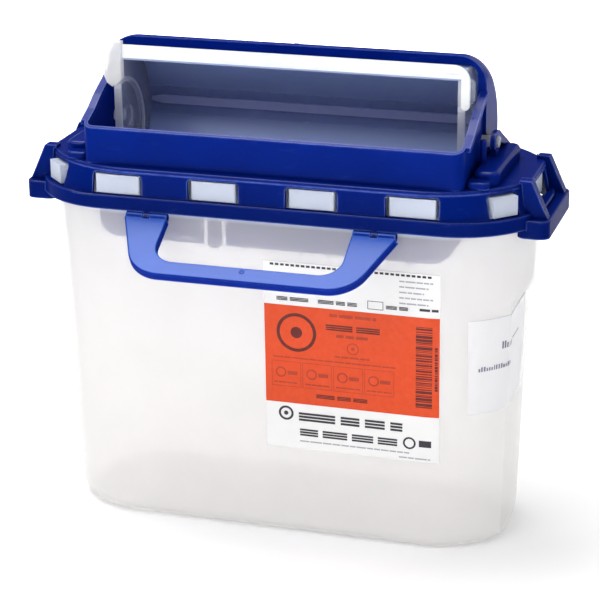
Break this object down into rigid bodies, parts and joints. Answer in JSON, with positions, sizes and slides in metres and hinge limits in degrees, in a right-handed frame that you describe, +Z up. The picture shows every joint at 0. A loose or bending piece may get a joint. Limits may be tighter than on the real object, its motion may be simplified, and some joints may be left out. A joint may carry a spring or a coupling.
{
  "type": "sharps container",
  "caption": "Narrow translucent tub with a blue press-fit lid, arched hood, turning drop tray in the hopper and a front swing handle.",
  "frame": {"origin": "centre of the tub's flat underside", "axes": "+X to the right along the long side, -Y out of the front where the handle is, +Z up"},
  "size_m": [0.305, 0.1534, 0.2786],
  "materials": {
    "pearl_tub": "pearl translucent polypropylene",
    "blue_plastic": "satin moulded",
    "clear_tray": "translucent moulded",
    "bar_plastic": "moulded",
    "white_lip": "satin white",
    "front_label": "printed white film with an orange panel",
    "side_label": "printed white film"
  },
  "bodies": {
    "container": {"container_tub": "pearl_tub", "front_label": "front_label", "side_label": "side_label", "lid_deck": "blue_plastic", "lid_skirt": "blue_plastic", "end_bracket_left": "blue_plastic", "end_bracket_right": "blue_plastic", "hopper_housing": "blue_plastic", "rear_hood": "blue_plastic", "side_pad_left": "blue_plastic", "side_pad_right": "blue_plastic", "bearing_bracket_left": "blue_plastic", "bearing_bracket_right": "blue_plastic", "inner_chute": "blue_plastic", "front_guide_ramp": "blue_plastic"},
    "tray": {"tray_trough": "clear_tray", "tray_end_left": "clear_tray", "tray_end_right": "clear_tray", "tray_lip": "white_lip", "tray_thumb_tab": "clear_tray", "counterbalance_bar": "bar_plastic", "pivot_pin_left": "clear_tray", "pivot_pin_right": "clear_tray"},
    "handle": {"carry_handle": "blue_plastic", "hinge_pin_left": "blue_plastic", "hinge_pin_right": "blue_plastic"}
  },
  "joints": [
    {"name": "tray_turn", "type": "hinge", "parent": "container", "child": "tray", "pos_m": [0, -0.004, 0.2315], "axis": [1, 0, 0], "range_deg": [0, 54]},
    {"name": "handle_swing", "type": "hinge", "parent": "container", "child": "handle", "pos_m": [-0.0036, -0.0573, 0.1886], "axis": [1, 0, 0], "range_deg": [-55, 60]}
  ]
}
